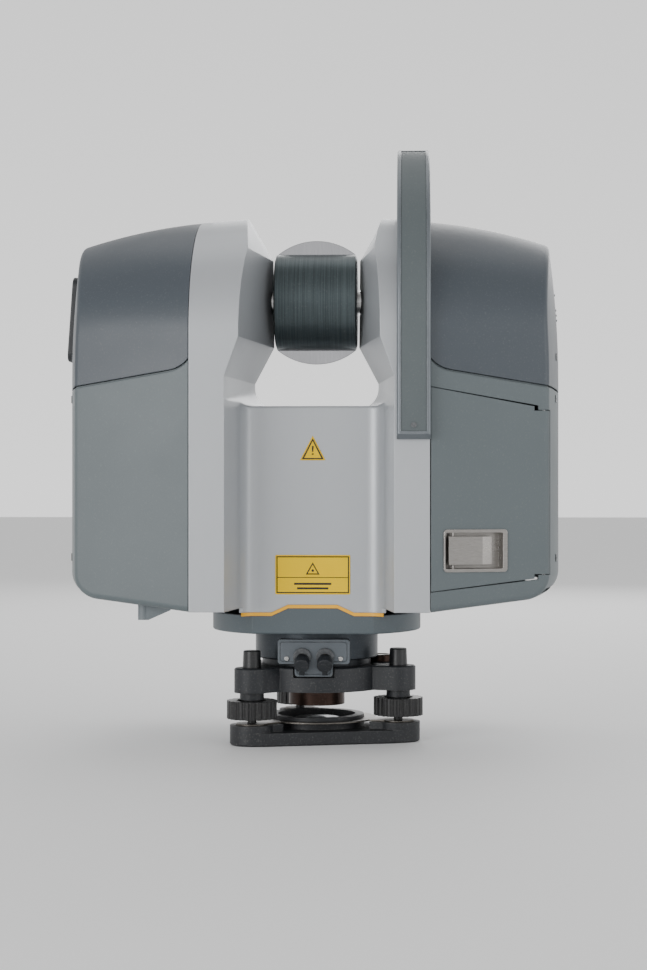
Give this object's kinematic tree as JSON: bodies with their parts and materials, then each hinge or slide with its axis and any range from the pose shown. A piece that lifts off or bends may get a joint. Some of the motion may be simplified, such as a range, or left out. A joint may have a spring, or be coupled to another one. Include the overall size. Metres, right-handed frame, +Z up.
{
  "type": "terrestrial laser scanner",
  "caption": "Forked laser scanner head with a spinning mirror drum, bow handle and battery door, on a levelling tribrach with foot screws.",
  "frame": {"origin": "centre of the tribrach's underside, on the vertical axis, at the mouth of the centre thread", "axes": "+Z up along the vertical axis, -Y towards the front panel, +X to the right seen from the front, along the drum's axis"},
  "size_m": [0.3377, 0.2392, 0.4084],
  "materials": {
    "silver_paint": "satin silver paint",
    "cover_dark": "fine textured blue-grey",
    "cover_light": "fine textured blue-grey",
    "grip_dark": "soft touch",
    "black_anodised": "fine turned, black anodised",
    "polished_alloy": "polished",
    "machined_alloy": "machined",
    "brushed_steel": "brushed",
    "bright_steel": "bright",
    "post_grey": "satin dark grey",
    "panel_grey": "satin grey",
    "tribrach_black": "matte black-grey",
    "knob_black": "ribbed",
    "bronze": "dark bronze",
    "rubber_black": "moulded",
    "accent_yellow": "yellow",
    "label_yellow": "yellow, black border",
    "plate_foil": "matt foil",
    "screen_glass": "dark glass",
    "lens_glass": "coated glass",
    "mirror_face": "front surface mirror",
    "board_green": "printed circuit board",
    "pack_grey": "moulded",
    "copper_windings": "wound copper and steel",
    "level_fluid": "liquid level"
  },
  "bodies": {
    "tribrach_base": {"base_plate": "tribrach_black", "thread_bush": "bronze", "spring_plate": "bright_steel"},
    "screw_left": {"foot_screw_left": "knob_black"},
    "screw_right": {"foot_screw_right": "knob_black"},
    "screw_rear": {"foot_screw_rear": "knob_black"},
    "tribrach_top": {"upper_plate": "tribrach_black", "screw_caps": "tribrach_black", "centre_bush": "bronze", "level_housing": "bronze", "level_vial": "level_fluid", "adapter_flange": "tribrach_black", "base_post": "post_grey", "connector_panel": "panel_grey", "panel_screws": "bright_steel", "data_sockets": "black_anodised", "socket_caps": "rubber_black", "azimuth_bearing": "bright_steel", "azimuth_motor": "copper_windings", "slip_ring": "copper_windings"},
    "lock": {"lock_knob": "tribrach_black"},
    "rotor": {"drum_barrel": "black_anodised", "drum_dome": "polished_alloy", "drum_window": "lens_glass", "scan_mirror": "mirror_face", "drum_shaft": "bright_steel"},
    "door": {"battery_door": "cover_light", "latch_tray": "brushed_steel"},
    "paddle": {"latch_paddle": "brushed_steel"},
    "bolt": {"latch_bolt": "bright_steel"},
    "button": {"power_button": "rubber_black"},
    "port_flap": {"usb_door": "cover_light"},
    "head": {"skirt_ring": "post_grey", "accent_stripe": "accent_yellow", "yoke_front": "silver_paint", "yoke_rear": "silver_paint", "chassis": "machined_alloy", "cover_upper_left": "cover_dark", "cover_upper_right": "cover_dark", "cover_lower_left": "cover_light", "cover_lower_right": "cover_light", "display_bezel": "pack_grey", "display_glass": "screen_glass", "tape_hook": "post_grey", "hinge_pins": "bright_steel", "battery_bay": "pack_grey", "battery_pack": "pack_grey", "handle_bow": "silver_paint", "handle_inlay": "grip_dark", "handle_grip": "grip_dark", "handle_screws": "bright_steel", "label_plates": "label_yellow", "type_plate": "plate_foil", "rotor_bearings": "bright_steel", "motor_stator": "copper_windings", "rangefinder": "black_anodised", "receiver_lens": "lens_glass", "circuit_board": "board_green"}
  },
  "joints": [
    {"name": "plate_lift", "type": "slide", "parent": "tribrach_base", "child": "tribrach_top", "axis": [0, 0, 1], "range_m": [-0.002, 0.006]},
    {"name": "screw_left_turn", "type": "hinge", "parent": "tribrach_base", "child": "screw_left", "pos_m": [-0.0423, -0.04142, 0.0242], "axis": [0, 0, 1], "range_deg": [-725, 2165]},
    {"name": "screw_right_turn", "type": "hinge", "parent": "tribrach_base", "child": "screw_right", "pos_m": [0.05702, -0.01592, 0.0242], "axis": [0, 0, 1], "range_deg": [-725, 2165]},
    {"name": "screw_rear_turn", "type": "hinge", "parent": "tribrach_base", "child": "screw_rear", "pos_m": [-0.01472, 0.05734, 0.0242], "axis": [0, 0, 1], "range_deg": [-725, 2165]},
    {"name": "lock_turn", "type": "hinge", "parent": "tribrach_top", "child": "lock", "pos_m": [-0.04843, -0.01243, 0.0439], "axis": [-0.9686, -0.2487, 0], "range_deg": [0, 180]},
    {"name": "azimuth_spin", "type": "hinge", "parent": "tribrach_top", "child": "head", "pos_m": [0, 0, 0.087], "axis": [0, 0, 1], "continuous": true},
    {"name": "drum_spin", "type": "hinge", "parent": "head", "child": "rotor", "pos_m": [0, 0, 0.304], "axis": [1, 0, 0], "continuous": true},
    {"name": "door_hinge", "type": "hinge", "parent": "head", "child": "door", "pos_m": [0.15218, -0.08665, 0.17], "axis": [0, 0, 1], "range_deg": [0, 108]},
    {"name": "latch_pull", "type": "hinge", "parent": "door", "child": "paddle", "pos_m": [0.09259, -0.10419, 0.1341], "axis": [0, 0, -1], "range_deg": [0, 40], "stiffness_Nm_per_rad": 0.04, "springref_deg": -5.73},
    {"name": "bolt_slide", "type": "slide", "parent": "door", "child": "bolt", "axis": [0.9615, 0.2747, 0], "range_m": [0, 0.004]},
    {"name": "button_press", "type": "slide", "parent": "head", "child": "button", "axis": [0.9977, 0, -0.068], "range_m": [0, 0.001], "stiffness_N_per_m": 600, "springref_m": -0.0005},
    {"name": "flap_hinge", "type": "hinge", "parent": "head", "child": "port_flap", "pos_m": [-0.11167, 0.10113, 0.1426], "axis": [-0.9615, -0.2747, 0], "range_deg": [0, 100]}
  ],
  "couplings": [
    {"joint": "screw_left_turn", "follows": "plate_lift", "rad_per_m": 6283.2},
    {"joint": "screw_right_turn", "follows": "plate_lift", "rad_per_m": 6283.2},
    {"joint": "screw_rear_turn", "follows": "plate_lift", "rad_per_m": 6283.2},
    {"joint": "bolt_slide", "follows": "latch_pull", "m_per_rad": 0.0057}
  ]
}
